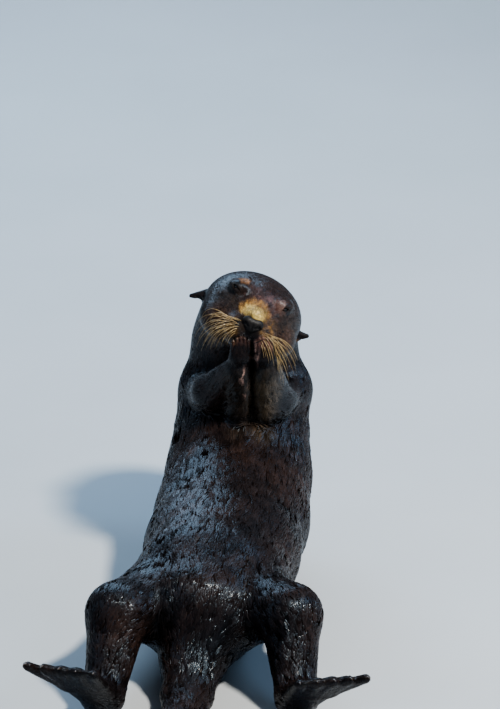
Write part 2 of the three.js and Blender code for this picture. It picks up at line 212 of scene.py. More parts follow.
# The spine's stations from the nape to the root of the tail, then the tail's: place, half width
# and half thickness.
SPINE = [
    ((-6, 272, 344), 69, 64),
    ((-8, 283, 314), 71, 65),
    ((-8, 285, 284), 72, 66),
    ((-8, 274, 244), 82, 76),
    ((-11, 245, 190), 95, 87),
    ((-16, 188, 140), 104, 95),
    ((-26, 108, 106), 110, 104),
    ((-40, 15, 100), 110, 99),
    ((-54, -75, 95), 106, 94),
    ((-68, -148, 84), 84, 80),
    ((-79, -212, 48), 47, 43),
]
TAIL = [
    SPINE[-1],
    ((-88, -282, 23), 38, 26),
    ((-92, -350, 19), 33, 21),
    ((-84, -420, 16), 26, 18),
    ((-66, -484, 13), 15, 13),
]


def chain(stations):
    return [
        limb(spot(*a), spot(*b), (wide_a, wide_b), (thick_a, thick_b))
        for (a, wide_a, thick_a), (b, wide_b, thick_b) in zip(stations, stations[1:])
    ]


def shoulder_joint(s):
    return spot(-6 + s * 60, 262, 241)


def hip_joint(s):
    return spot(-68 + s * 62, -122, 92)


torso = flow([flow(chain(SPINE), 24), flow(chain(TAIL), 12)], 20)
joints = both_sides(lambda s: egg(shoulder_joint(s), (38, 42, 40)))
joints += both_sides(lambda s: egg(hip_joint(s), (56, 74, 62)))

# The forelimbs mirror each other in the plane where the two paws press together.
PAW_PLANE = 3


def forelimb_spot(s, x, y, z):
    return spot(x if s < 0 else 2 * PAW_PLANE - x, y, z)


def elbow_joint(s):
    return spot(-56, 188, 270) if s < 0 else spot(38, 189, 259)


def wrist_joint(s):
    return forelimb_spot(s, -19, 148, 327)


def forelimb(s):
    elbow, wrist = elbow_joint(s), wrist_joint(s)
    paw = forelimb_spot(s, -13.5, 140, 350)
    tip = forelimb_spot(s, -12.5, 138, 369)
    fore = (0.25 * s, 1, 0)
    inner_start, inner_end = forelimb_spot(s, -17, 174, 252), forelimb_spot(s, -15, 152, 314)
    return flow(
        [
            limb(shoulder_joint(s), elbow, (37, 29)),
            limb(elbow, wrist, (29, 16), (29, 18), fore),
            limb(wrist, paw, (15, 12), (17, 16), fore),
            limb(paw, tip, (12, 7), (15, 12), fore),
            limb(inner_start, inner_end, (27, 19)),
        ],
        8,
    )


# Five short fingers lie side by side over the paw's end, and bend towards the mouth.
FINGERS = 5
FINGER_STEP = 6.0


def finger_line(s, finger):
    aside = (finger - (FINGERS - 1) / 2) * FINGER_STEP
    knuckle = forelimb_spot(s, -13.5 + aside, 134.5 + 0.022 * aside**2, 360)
    return knuckle, forelimb_spot(s, -13 + aside * 0.9, 137, 380 - 0.035 * aside**2)


def paw(s):
    fingers = [limb(*finger_line(s, n), (3.9, 3.3), (5.0, 4.0)) for n in range(FINGERS)]
    return flow(fingers, 1.2)


# The hind feet are long webbed paddles: knee, heel, the way that the foot points, and across it.
FOOT_LENGTH, FOOT_SPREAD, TOES = 0.186, 0.104, 5
WEB = 0.86  # how far the web reaches, as a share of the foot's length
HIND = {
    -1: ((-184, -192, 106), (-204, -286, 24), (-0.34, -0.7, 0.63), (-0.92, 0.36, -0.12)),
    1: ((56, -196, 106), (64, -290, 24), (0.3, -0.76, 0.57), (0.92, 0.34, -0.14)),
}


def foot_way(s):
    way, across = (unit(np.array(v)) for v in HIND[s][2:])
    return spot(*HIND[s][1]), way, across


def toe_line(s, toe):
    heel, way, across = foot_way(s)
    share = toe / (TOES - 1)
    root = heel + 0.42 * FOOT_LENGTH * way + (-0.24 + 0.48 * share) * FOOT_SPREAD * across
    tip = heel + (0.8 + 0.16 * share) * FOOT_LENGTH * way
    return root, tip + (-0.42 + 0.84 * share) * FOOT_SPREAD * across


def hind_limb(s):
    heel, way, across = foot_way(s)
    knee = spot(*HIND[s][0])
    ball = heel + 0.45 * FOOT_LENGTH * way
    web_end = heel + WEB * FOOT_LENGTH * way
    toes = [limb(*toe_line(s, toe), (11, 8), (9, 7), across) for toe in range(TOES)]
    foot = flow(
        [
            limb(heel, ball, (26, 36), (25, 14), across),
            limb(ball, web_end, (36, 44), (13, 6), across),
        ]
        + toes,
        7,
    )
    leg = [limb(hip_joint(s), knee, (62, 44)), limb(knee, heel, (44, 27), (44, 26)), foot]
    return flow(leg, 16)


# ---- Skin -----------------------------------------------------------------------------------
# One skin covers the whole otter, inside the tips of its coat by the coat's depth. It is drawn
# tight over the skull, with lids around the eyes, a split lip, ears like rolled leaves, and
# webbed toes. Its colours are the coat's: near black when wet, golden on the muzzle, with
# painted glints, sheen and shade in a few places.

def middle(node):
    """The middle of a node's box."""
    low, high = np.array(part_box(node))
    return (low + high) / 2


NOSE_TIP = at(0, -112, 4)
EYE_RADIUS = 0.008
LID = 0.0014
SLIT_HALF, SLIT_ABOVE, SLIT_BELOW = 0.0066, 0.0022, 0.0030
SIDES = {-1: "right", 1: "left"}
EYES = {s: in_head(middle(side + "_eye")) for s, side in SIDES.items()}

# Each ear's root, the way that it points, and its length: the left one lies more folded.
EARS = {
    -1: (at(-71, 2, -3), (-0.9, 0.3, -0.50), 0.0240),
    1: (at(71, 2, -8), (0.9, 0.3, 0.26), 0.0200),
}


def ramp(value, low, high):
    """0 below `low`, 1 above `high`, and smooth in between."""
    t = np.clip((value - low) / (high - low), 0, 1)
    return t * t * (3 - 2 * t)


def carved(far, tool, soft):
    """A distance with a tool's shape taken out of it, its rim rounded over `soft`, in metres."""
    return -merged(-far, tool, soft)


def coat_depth(from_nose):
    """How deep the coat lies over the skin, by the distance from the nose."""
    return 0.0007 + 0.0013 * ramp(from_nose, 0.015, 0.110) + 0.0026 * ramp(from_nose, 0.14, 0.26)


def ear(s):
    """A small leaf, rolled in along its rim, with a bowl that opens forwards."""
    root, way, length = EARS[s]
    way = unit(np.array(way))
    leaf = limb(root, root + length * way, (8.8, 2.8), (3.4, 1.5), (0, 0.35, 1))
    bowl = egg(root + 0.012 * way + at(0, -6.6, -3.0), (10.0, 5.8, 4.6))
    return lambda p: carved(leaf(p), bowl(p), 0.0012)


def eye_axes(s):
    """The way that an eye looks, the line between the corners of its lids, and up."""
    look = unit(np.array([s * 0.56, -0.82, 0.14]))
    slit = unit(np.cross((0, 0, 1), look) * s + (0, 0, 0.16))
    up = unit(np.cross(look, slit) * s)
    return look, slit, up


def eye_slit(s, p):
    """An almond that reaches out through the lids, flatter above than below."""
    look, slit, up = eye_axes(s)
    d = p - EYES[s]
    along, height, out = d @ slit, d @ up, d @ look
    far = 0.002 - out
    for way, half_high in ((1, SLIT_ABOVE), (-1, SLIT_BELOW)):
        round_lid = (SLIT_HALF**2 + half_high**2) / (2 * half_high)
        lid = np.hypot(along, height * way + round_lid - half_high) - round_lid
        far = np.maximum(far, lid)
    return far


def face(p):
    """The skin of the head, in the head's own frame."""
    far = skull(p) + coat_depth(np.linalg.norm(p - NOSE_TIP, axis=1))
    for s in (-1, 1):
        lids = np.linalg.norm(p - EYES[s], axis=1) - EYE_RADIUS - LID
        far = merged(far, lids, 0.008)
        far = carved(far, eye_slit(s, p), 0.0008)
        lip = limb(at(0, -113, -22), at(s * 22, -98, -32), (1.6, 1.2))
        far = carved(far, lip(p), 0.002)
    far = carved(far, limb(at(0, -118, -6), at(0, -115, -24), (1.2, 1.5))(p), 0.002)
    for s in (-1, 1):
        far = merged(far, ear(s)(p), 0.004)
    return far


forelimbs = {s: flow([forelimb(s), paw(s)], 3) for s in (-1, 1)}
hind_limbs = {s: hind_limb(s) for s in (-1, 1)}
placed_face = on_head(face)


OVER_FLOOR = 0.0002  # the skin's lowest part is a flat on the back, this far over the floor
PAWS_APART = 0.0006  # the gap between the paws, from the middle to either side


def skin_form(p):
    """How far points lie outside the skin. It lies deeper in the limbs than in the paws and feet,
    where the coat is short."""
    depth = coat_depth(np.linalg.norm(in_head(p) - NOSE_TIP, axis=1))
    far = merged(torso(p) + depth, placed_face(p), 0.020)
    for joint in joints:
        far = merged(far, joint(p) + depth, 0.020)
    for s in (-1, 1):
        wrist = wrist_joint(s)[2]
        thin = 0.0038 - 0.0028 * ramp(p[:, 2], wrist - 0.06, wrist + 0.01)
        past_plane = (PAW_PLANE + LAID_OUT[0]) / 1000 * s - p[:, 0] * s + PAWS_APART
        arm = carved(forelimbs[s](p) + thin, -past_plane, 0.004)
        far = merged(far, arm, 0.006)
    for s in (-1, 1):
        heel, way = foot_way(s)[:2]
        thin = 0.0010 + 0.0034 * ramp(-(p - heel) @ way, -0.03, 0.06)
        far = merged(far, hind_limbs[s](p) + thin, 0.008)
    return np.maximum(far, OVER_FLOOR - p[:, 2])


LEAST_SLOPE = 0.05  # squared, so that no point is thrown far where the form is nearly level


def slopes(form, p, h=0.0004):
    """The form's gradient at the points, from four samples around each."""
    corners = np.array([[1, -1, -1], [-1, -1, 1], [-1, 1, -1], [1, 1, 1]])
    return sum(corner * form(p + h * corner)[:, None] for corner in corners) / (4 * h)


def settled(form, p, height=0.0, rounds=2):
    """Points moved to where they lie `height` outside the form."""
    p = p.copy()
    for _ in range(rounds):
        slope = slopes(form, p)
        size = np.maximum((slope**2).sum(axis=1), LEAST_SLOPE)
        p -= slope * ((form(p) - height) / size)[:, None]
    return p


def grid_lines(low, high, coarse, *fine):
    """Grid lines `coarse` apart, and closer inside each (start, end, step) stretch."""
    lines = [low]
    while lines[-1] < high:
        steps = [step for start, end, step in fine if start <= lines[-1] < end]
        lines.append(lines[-1] + min(steps + [coarse]))
    return np.array(lines)


BLOCK = 8  # grid lines in a block, each way
BLOCKS_AT_ONCE = 600


def sampled(form, lines):
    """The form at each crossing of the grid lines, worked out only in blocks near its surface."""
    count = [-(-len(one) // BLOCK) for one in lines]
    lines = [
        np.append(one, one[-1] + 0.01 * np.arange(1, n * BLOCK - len(one) + 1))
        for one, n in zip(lines, count)
    ]
    spans = [one.reshape(-1, BLOCK) for one in lines]
    middles = np.stack(np.meshgrid(*[s.mean(axis=1) for s in spans], indexing="ij"), axis=-1)
    sizes = np.stack(np.meshgrid(*[np.ptp(s, axis=1) for s in spans], indexing="ij"), axis=-1)
    far = form(middles.reshape(-1, 3)).reshape(count)
    values = np.repeat(np.sign(far)[..., None], BLOCK**3, axis=-1).astype(np.float32)
    near = np.argwhere(np.abs(far) < 0.75 * np.linalg.norm(sizes, axis=-1) + 0.006)
    for part in np.array_split(near, max(1, len(near) // BLOCKS_AT_ONCE)):
        i, j, k = part.T
        x = spans[0][i][:, :, None, None]
        y = spans[1][j][:, None, :, None]
        z = spans[2][k][:, None, None, :]
        shape = (len(part), BLOCK, BLOCK, BLOCK)
        p = np.stack([np.broadcast_to(axis, shape) for axis in (x, y, z)], axis=-1)
        values[i, j, k] = form(p.reshape(-1, 3)).reshape(len(part), -1)
    values = values.reshape(*count, BLOCK, BLOCK, BLOCK).transpose(0, 3, 1, 4, 2, 5)
    return values.reshape([len(one) for one in lines]), lines


def closed_surface(form, *lines):
    """The form's surface: a corner in each grid cell that it crosses, and a four-sided face
    around each grid line that it crosses."""
    values, lines = sampled(form, lines)
    shape = values.shape
    inside = values < 0
    stride = np.array([shape[1] * shape[2], shape[2], 1])
    places, rings = [], []
    for axis in range(3):
        low = [slice(None)] * 3
        high = [slice(None)] * 3
        low[axis], high[axis] = slice(None, -1), slice(1, None)
        crossed = np.argwhere(inside[tuple(low)] != inside[tuple(high)])
        step, u, v = np.roll(np.eye(3, dtype=int), -axis, axis=0)
        a = values[tuple(crossed.T)]
        b = values[tuple((crossed + step).T)]
        place = np.stack([lines[n][crossed[:, n]] for n in range(3)], axis=1)
        place[:, axis] += (lines[axis][crossed[:, axis] + 1] - place[:, axis]) * (a / (a - b))
        ring = [(crossed - i * u - j * v) @ stride for i, j in ((0, 0), (1, 0), (1, 1), (0, 1))]
        ring = np.stack(ring, axis=1)
        ring[a > 0] = ring[a > 0][:, ::-1]
        rings.append(ring)
        places.append(np.repeat(place, 4, axis=0))
    corner = np.unique(np.concatenate(rings), return_inverse=True)[1].ravel()
    places = np.concatenate(places)
    count = np.bincount(corner)
    corners = np.stack([np.bincount(corner, places[:, n]) / count for n in range(3)], axis=1)
    return corners, corner.reshape(-1, 4)


def finer(corners, faces, near):
    """The mesh with each face that is `near` cut in four, and its neighbours fitted to that."""
    mesh = bpy.data.meshes.new("finer")
    mesh.from_pydata(corners.tolist(), [], faces.tolist())
    shape = bmesh.new()
    shape.from_mesh(mesh)
    shape.faces.ensure_lookup_table()
    chosen = [shape.faces[n] for n in np.flatnonzero(near(corners[faces].mean(axis=1)))]
    edges = list({edge for one in chosen for edge in one.edges})
    bmesh.ops.subdivide_edges(shape, edges=edges, cuts=1, use_grid_fill=True)
    bmesh.ops.triangulate(shape, faces=[one for one in shape.faces if len(one.verts) > 4])
    shape.to_mesh(mesh)
    shape.free()
    corners = np.empty(len(mesh.vertices) * 3)
    mesh.vertices.foreach_get("co", corners)
    sides = [tuple(one.vertices) for one in mesh.polygons]
    bpy.data.meshes.remove(mesh)
    groups = [np.array([side for side in sides if len(side) == n]).reshape(-1, n) for n in (3, 4)]
    return corners.reshape(-1, 3), groups


def piece_of(name, corners, faces, **colours):
    """A mesh object from arrays of corners and of faces with equally many corners each."""
    mesh = bpy.data.meshes.new(name)
    mesh.vertices.add(len(corners))
    mesh.vertices.foreach_set("co", np.asarray(corners, dtype=np.float32).ravel())
    faces = [np.asarray(group, dtype=np.int32) for group in faces if len(group)]
    sizes = np.concatenate([np.full(len(group), group.shape[1]) for group in faces])
    mesh.loops.add(int(sizes.sum()))
    mesh.loops.foreach_set("vertex_index", np.concatenate([group.ravel() for group in faces]))
    mesh.polygons.add(len(sizes))
    mesh.polygons.foreach_set("loop_start", np.cumsum(sizes) - sizes)
    mesh.update(calc_edges=True)
    mesh.shade_smooth()
    for attribute, colour in colours.items():
        values = np.column_stack([colour, np.ones(len(colour))]).astype(np.float32)
        layer = mesh.color_attributes.new(attribute, "FLOAT_COLOR", "POINT")
        layer.data.foreach_set("color", values.ravel())
    piece = bpy.data.objects.new(name, mesh)
    bpy.context.scene.collection.objects.link(piece)
    return piece


# The coat's colours, dark with water, and the bare skin's. Some of them also carry painted glints
# and sheen.
NEAR_BLACK = np.array([0.0085, 0.0068, 0.0074])
WARM_BROWN = np.array([0.038, 0.019, 0.012])
GREY_BROWN_AND_SHEEN = np.array([0.052, 0.040, 0.030])
RUSSET = np.array([0.072, 0.034, 0.028])
UMBER = np.array([0.100, 0.072, 0.045])
GOLDEN = np.array([0.235, 0.126, 0.038])
BUFF_AND_GLARE = np.array([0.500, 0.375, 0.135])
GLINT_TAN = np.array([0.340, 0.165, 0.068])
PINK = np.array([0.150, 0.072, 0.062])
PALE_SKIN_AND_GLINT = np.array([0.400, 0.250, 0.210])


def patch(p, centre, radii, soft=0.5):
    """1 in the middle of an egg-shaped patch, 0 outside it."""
    far = np.sqrt((((p - centre) * 1000 / radii) ** 2).sum(axis=1))
    return 1 - ramp(far, 1 - soft, 1 + soft)


def drift(p, size, seed):
    """A smooth random field between about -1 and 1, with patches about `size` across."""
    rng = np.random.default_rng(seed)
    total = np.zeros(len(p))
    for way in rng.normal(size=(6, 3)):
        total += np.sin(p @ (way * 2.2 / size) + rng.uniform(0, 2 * math.pi))
    return total / 3


def markings(p):
    """The colour of skin and coat at the points, with painted glints, sheen and shade in a few
    places.
    """
    ragged = np.stack([drift(p, 0.009, seed) for seed in (3, 4, 5)], axis=1)
    q = in_head(p) + 0.0028 * ragged
    colour = np.tile(NEAR_BLACK, (len(p), 1))

    def painted(amount, paint):
        colour[:] += amount[:, None] * (paint - colour)

    blotch = 0.5 + 0.5 * drift(p, 0.045, 1)
    in_front = 1 - ramp(q[:, 1], 0.0, 0.10)
    painted(0.35 * blotch * in_front, WARM_BROWN)
    chin = patch(q, at(0, -40, -52), (56, 44, 30))
    painted(0.8 * chin, WARM_BROWN)
    for s in (-1, 1):
        inner_arm = patch(p, forelimb_spot(s, -18, 150, 280), (24, 34, 48))
        painted(inner_arm * (0.2 if s < 0 else 0.65 + 0.35 * blotch), UMBER)
    streaks = 0.55 + 0.45 * drift(q * (1, 0.35, 1), 0.006, 6)
    painted(0.60 * streaks * patch(q, at(2, -84, 31), (24, 26, 18)), RUSSET)
    painted(0.40 * streaks * patch(q, at(24, -74, 26), (16, 22, 14)), RUSSET)
    painted(0.85 * patch(q, at(-21, -106, -17), (15, 24, 16)), GOLDEN * 0.6)
    painted(0.75 * streaks * patch(q, at(24, -98, -6), (13, 22, 20)), GOLDEN * 0.85)
    # Painted glints: tan streaks of sunlit wet fur on the side of the neck, under the left ear.
    neck_glints = np.clip(0.45 + 0.9 * drift(q * (1, 1, 0.2), 0.006, 7), 0, 1)
    painted(0.65 * neck_glints * patch(q, at(78, -15, -31), (9, 17, 26)), GLINT_TAN)
    for s in (-1, 1):
        # The cheeks' grey-brown is partly the coat's lighter colour there and partly painted sky
        # sheen on the wet fur.
        painted(0.35 * patch(q, at(s * 46, -66, 2), (24, 36, 34)), GREY_BROWN_AND_SHEEN)
        painted(0.45 * patch(q, at(s * 42, -76, -16), (22, 30, 24)), WARM_BROWN * 1.8)
    painted(0.9 * patch(q, at(-3, -98, 21), (22, 22, 15), 0.3) * (0.75 + 0.25 * streaks), GOLDEN)
    # The pale buff over the nose is partly the blond fur of the bridge and partly painted sun glare
    # on it.
    painted((0.7 + 0.25 * streaks) * patch(q, at(-4, -103, 18), (16, 16, 9), 0.5), BUFF_AND_GLARE)
    # A painted glint: a tan spot of sunlit wet fur on the right brow.
    painted((0.35 + 0.6 * streaks) * patch(q, at(-29, -58, 46), (7.5, 11, 9), 0.45), GLINT_TAN * 0.65)
    # Near black under and around the nose: the lips and the fur there are dark, and painted shade
    # of the mouth deepens them.
    painted(0.95 * patch(q, at(1, -108, -20), (15, 22, 13), 0.5), NEAR_BLACK)
    painted(0.85 * patch(q, at(-4, -111, -3), (20, 14, 14), 0.4), NEAR_BLACK)
    for s in (-1, 1):
        # A pale patch on the left upper lid: the lid's pinkish skin with a painted glint on it.
        if s > 0:
            painted(0.5 * patch(q, EYES[s] - at(4, 6, 1), (6.5, 8, 10.5), 0.5), PALE_SKIN_AND_GLINT * 0.6)
        painted(0.9 * (np.linalg.norm(q - EYES[s], axis=1) < EYE_RADIUS + 0.0022), NEAR_BLACK)
        painted(0.15 * patch(p, forelimb_spot(s, -11, 130, 362), (18, 16, 22), 0.5), WARM_BROWN)
        # Pinkish fingertips, far stronger on the left paw, where painted glints lie on the wet
        # skin.
        for finger in range(FINGERS):
            knuckle, tip = finger_line(s, finger)
            low, most = (0.001, 0.2) if s < 0 else (0.005, 0.85)
            painted(most * patch(p, tip - (0, 0.003, low), (3.0, 6, 6 + 800 * low), 0.6), PINK)
        inside_ear = patch(q, at(s * 82, -6, -5), (10, 7, 6))
        painted(0.7 * inside_ear, WARM_BROWN * (2.2, 1.6, 1.5))
    # Light hair tips along the inside of the right forearm, with painted glints of wet fur on them.
    light_tips_and_glints = np.clip(4 * drift(p * (1, 1, 0.25), 0.006, 9) - 1.6, 0, 1)
    painted(0.7 * light_tips_and_glints * patch(p, forelimb_spot(-1, -10, 142, 296), (7, 24, 36)), PALE_SKIN_AND_GLINT)
    # The bare edge of the left palm, brightened by painted glints on its wet skin.
    palm_edge_and_glints = np.clip(0.5 + drift(p * (1, 1, 0.2), 0.004, 8), 0, 1)
    painted(0.8 * palm_edge_and_glints * patch(p, forelimb_spot(1, -1, 130, 353), (5, 14, 24), 0.5), PALE_SKIN_AND_GLINT)
    return np.clip(colour * (1 + 0.3 * drift(p, 0.010, 2))[:, None], 0.003, 0.9)


def fine_place(p):
    """Where the skin has its finest shapes: eyelids, muzzle, ears and fingers."""
    q = in_head(p)
    near = np.linalg.norm(q - at(0, -108, -8), axis=1) < 0.034
    for s in (-1, 1):
        near |= np.linalg.norm(q - EYES[s], axis=1) < 0.017
        near |= np.linalg.norm(q - at(s * 84, 4, -4), axis=1) < 0.020
        near |= np.linalg.norm(p - forelimb_spot(s, -14, 138, 366), axis=1) < 0.026
    return near


BODY_GRID, FEET_GRID, HEAD_GRID = 0.005, 0.003, 0.0020
head_x, head_y = HEAD_AT[:2]
skin_lines = [
    grid_lines(-0.31, 0.24, BODY_GRID, (head_x - 0.10, head_x + 0.10, HEAD_GRID)),
    grid_lines(
        -0.58, 0.35, BODY_GRID, (head_y - 0.13, head_y + 0.02, HEAD_GRID), (-0.51, -0.31, FEET_GRID)
    ),
    grid_lines(-0.02, 0.47, BODY_GRID, (0.31, 0.44, HEAD_GRID), (0.0, 0.16, FEET_GRID)),
]
skin_corners, skin_faces = closed_surface(skin_form, *skin_lines)
skin_corners, skin_faces = finer(skin_corners, skin_faces, fine_place)
skin_corners = settled(skin_form, skin_corners)
skin = piece_of("skin", skin_corners, skin_faces, coat=markings(skin_corners))


def material(name, **sockets):
    """A new material with its shader's sockets set, its node tree and that shader."""
    made = bpy.data.materials.new(name)
    made.use_nodes = True
    tree = made.node_tree
    shader = tree.nodes["Principled BSDF"]
    for socket, value in sockets.items():
        shader.inputs[socket.replace("_", " ")].default_value = value
    return made, tree, shader


def attribute(tree, name):
    node = tree.nodes.new("ShaderNodeAttribute")
    node.attribute_name = name
    return node


def on_object(tree):
    return tree.nodes.new("ShaderNodeTexCoord").outputs["Object"]


def noise(tree, coordinates, scale, detail=4, stretch=(1, 1, 1)):
    """A noise texture on the given coordinates, drawn out where `stretch` is under 1."""
    place = tree.nodes.new("ShaderNodeMapping")
    place.inputs["Scale"].default_value = stretch
    tree.links.new(coordinates, place.inputs["Vector"])
    texture = tree.nodes.new("ShaderNodeTexNoise")
    texture.inputs["Scale"].default_value = scale
    texture.inputs["Detail"].default_value = detail
    tree.links.new(place.outputs["Vector"], texture.inputs["Vector"])
    return texture.outputs["Fac"]


def mapped(tree, value, low, high):
    """A noise's usual range, 0.3 to 0.7, moved to `low` to `high`."""
    node = tree.nodes.new("ShaderNodeMapRange")
    tree.links.new(value, node.inputs["Value"])
    ends = {"From Min": 0.3, "From Max": 0.7, "To Min": low, "To Max": high}
    for socket, number in ends.items():
        node.inputs[socket].default_value = number
    return node.outputs["Result"]


def bumped(tree, shader, height, strength, distance):
    bump = tree.nodes.new("ShaderNodeBump")
    bump.inputs["Strength"].default_value = strength
    bump.inputs["Distance"].default_value = distance
    tree.links.new(height, bump.inputs["Height"])
    tree.links.new(bump.outputs["Normal"], shader.inputs["Normal"])


def coloured(tree, shader, colour, shade):
    """The shader's colour is a given one, made lighter and darker by a value around 1."""
    mix = tree.nodes.new("ShaderNodeVectorMath")
    mix.operation = "SCALE"
    tree.links.new(colour, mix.inputs[0])
    tree.links.new(shade, mix.inputs["Scale"])
    tree.links.new(mix.outputs["Vector"], shader.inputs["Base Color"])


def roughened(tree, shader, value, low, high):
    tree.links.new(mapped(tree, value, low, high), shader.inputs["Roughness"])


wet_skin, tree, shader = material(
    "wet_skin", Coat_Weight=0.05, Coat_Roughness=0.25, Specular_IOR_Level=0.3, IOR=1.4
)
place = on_object(tree)
hairs = noise(tree, place, 900, 3)
coloured(tree, shader, attribute(tree, "coat").outputs["Color"], mapped(tree, hairs, 0.6, 1.3))
roughened(tree, shader, noise(tree, place, 60), 0.34, 0.6)
bumped(tree, shader, hairs, 0.3, 0.0006)
skin.data.materials.append(wet_skin)

FLESH = [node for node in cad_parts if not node.endswith("_eye") and node != "nose"]
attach(skin, "root")
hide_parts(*FLESH)


# ---- Eyes -----------------------------------------------------------------------------------
# Each eye is a dark wet ball under its lids, with a low dome over a wide pupil. The ball is
# turned on its own axis, and only the almond between the lids shows.

def tube_walls(rings, sides):
    """The faces between rings of corners that follow each other."""
    n = np.arange(sides)
    after = (n + 1) % sides
    one = np.stack([n, after, sides + after, sides + n], 1)
    return np.vstack([k * sides + one for k in range(rings - 1)])


def lathed(name, profile, centre, axes, sides):
    """A closed body turned about an axis: (radius, height) from its bottom pole to its top one."""
    across, over, out = axes
    profile = np.array(profile)
    angles = np.arange(sides) * 2 * math.pi / sides
    ring = np.cos(angles)[:, None] * across + np.sin(angles)[:, None] * over
    inner = profile[1:-1]
    corners = (inner[:, 0, None, None] * ring + inner[:, 1, None, None] * out).reshape(-1, 3)
    corners = np.vstack([corners, profile[[0, -1], 1, None] * out]) + centre
    n = np.arange(sides)
    after = (n + 1) % sides
    bottom, top = len(corners) - 2, len(corners) - 1
    last = (len(inner) - 1) * sides
    caps = [
        np.stack([after, n, np.full(sides, bottom)], 1),
        np.stack([last + n, last + after, np.full(sides, top)], 1),
    ]
    return piece_of(name, corners, [tube_walls(len(inner), sides), np.vstack(caps)])


DOME_RADIUS, DOME_OUT = 0.0056, 0.0010
EYE_RINGS, EYE_SIDES = 24, 40

# From the middle of the pupil to the edge of the white, as shares of the ball's radius.
IRIS_TONES = (
    (0.42, (0.005, 0.003, 0.003, 1)),
    (0.50, (0.050, 0.022, 0.010, 1)),
    (0.74, (0.028, 0.012, 0.006, 1)),
    (0.82, (0.012, 0.008, 0.007, 1)),
    (1.0, (0.10, 0.075, 0.065, 1)),
)
wet_eye, tree, shader = material(
    "wet_eye", Roughness=0.06, Coat_Weight=1.0, Coat_Roughness=0.03, IOR=1.45
)
iris = tree.nodes.new("ShaderNodeValToRGB")
iris.color_ramp.elements[0].position = 0.0
iris.color_ramp.elements[0].color = (0.004, 0.003, 0.003, 1)
for position, colour in IRIS_TONES:
    iris.color_ramp.elements.new(position).color = colour
tree.links.new(attribute(tree, "iris").outputs["Fac"], iris.inputs["Fac"])
streaks = noise(tree, on_object(tree), 700)
coloured(tree, shader, iris.outputs["Color"], mapped(tree, streaks, 0.7, 1.3))
bumped(tree, shader, streaks, 0.05, 0.0001)

for s, side in SIDES.items():
    look, slit, up = (from_head(v) - HEAD_AT for v in eye_axes(s))
    turns = np.linspace(-math.pi / 2, math.pi / 2, EYE_RINGS + 1)
    radii = EYE_RADIUS * np.cos(turns)
    heights = EYE_RADIUS * np.sin(turns)
    heights += DOME_OUT * (1 - ramp(radii, 0.0, DOME_RADIUS)) * (heights > 0)
    radii[[0, -1]] = 0
    profile, centre = np.stack([radii, heights], axis=1), from_head(EYES[s])
    eye = lathed(side + "_eyeball", profile, centre, (slit, up, look), EYE_SIDES)
    place = np.array([v.co for v in eye.data.vertices]) - centre
    out = np.linalg.norm(place - np.outer(place @ look, look), axis=1) / EYE_RADIUS
    out[place @ look < 0] = 1
    iris_depth = eye.data.attributes.new("iris", "FLOAT", "POINT")
    iris_depth.data.foreach_set("value", out.astype(np.float32))
    eye.data.materials.append(wet_eye)
    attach(eye, "root")
    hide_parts(side + "_eye")


# ---- Nose pad -------------------------------------------------------------------------------
# A broad black pad of bare, pebbled skin. Two comma-shaped nostrils open forwards and curl out to
# its sides, and a groove runs down its middle to the split of the lip.

nose_lobes = both_sides(lambda s: egg(at(s * 7, -108, 6), (9.3, 7.8, 7.8)))
nose_lobes = flow(nose_lobes + [egg(at(0, -108, 0), (9, 8, 10))], 6)


def nose_form(q):
    far = nose_lobes(q)
    far = carved(far, limb(at(0, -118.0, 12), at(0, -117.6, -10), (0.9, 1.1))(q), 0.0022)
    for s in (-1, 1):
        inner = at(s * 6.0, -116.5, 0.5)
        outer = at(s * 10.5, -114.5, 3.5)
        end = at(s * 15.5, -109.5, -1.5)
        nostril = merged(limb(inner, outer, (2.1, 2.5))(q), limb(outer, end, (2.0, 0.9))(q), 0.0015)
        far = carved(far, nostril, 0.0012)
    return far + 0.00010 * drift(q, 0.0030, 5)


NOSE_GRID = 0.0008
NOSE_ENDS = ((-0.021, 0.021), (-0.121, -0.096), (-0.014, 0.019))
nose_lines = [np.arange(low, high, NOSE_GRID) for low, high in NOSE_ENDS]
nose_corners, nose_faces = closed_surface(nose_form, *nose_lines)
nose_corners = settled(nose_form, nose_corners, rounds=1)
nose = piece_of("nose_pad", from_head(nose_corners), [nose_faces])


def two_tones(tree, shader, value, dark, light, low=0.0, high=1.0):
    """The shader's colour goes from dark to light as a value goes from `low` to `high`."""
    tones = tree.nodes.new("ShaderNodeValToRGB")
    for element, position, colour in zip(tones.color_ramp.elements, (low, high), (dark, light)):
        element.position = position
        element.color = (*colour, 1)
    tree.links.new(value, tones.inputs["Fac"])
    tree.links.new(tones.outputs["Color"], shader.inputs["Base Color"])


black_leather, tree, shader = material(
    "black_leather", Specular_IOR_Level=0.25, Coat_Weight=0.04, Coat_Roughness=0.3
)
place = on_object(tree)
pebbles = tree.nodes.new("ShaderNodeTexVoronoi")
pebbles.inputs["Scale"].default_value = 1100
tree.links.new(place, pebbles.inputs["Vector"])
mottle = noise(tree, place, 160)
two_tones(tree, shader, mottle, (0.006, 0.006, 0.007), (0.020, 0.017, 0.017), 0.35, 0.75)
roughened(tree, shader, noise(tree, place, 240), 0.38, 0.6)
bumped(tree, shader, pebbles.outputs["Distance"], 0.45, 0.0004)
nose.data.materials.append(black_leather)
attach(nose, "root")
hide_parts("nose")


# ---- Whiskers -------------------------------------------------------------------------------
# Stiff pale bristles stand in curved rows on both whisker pads. They are thick at the root, sweep
# out past the cheeks, and droop with the water on them.

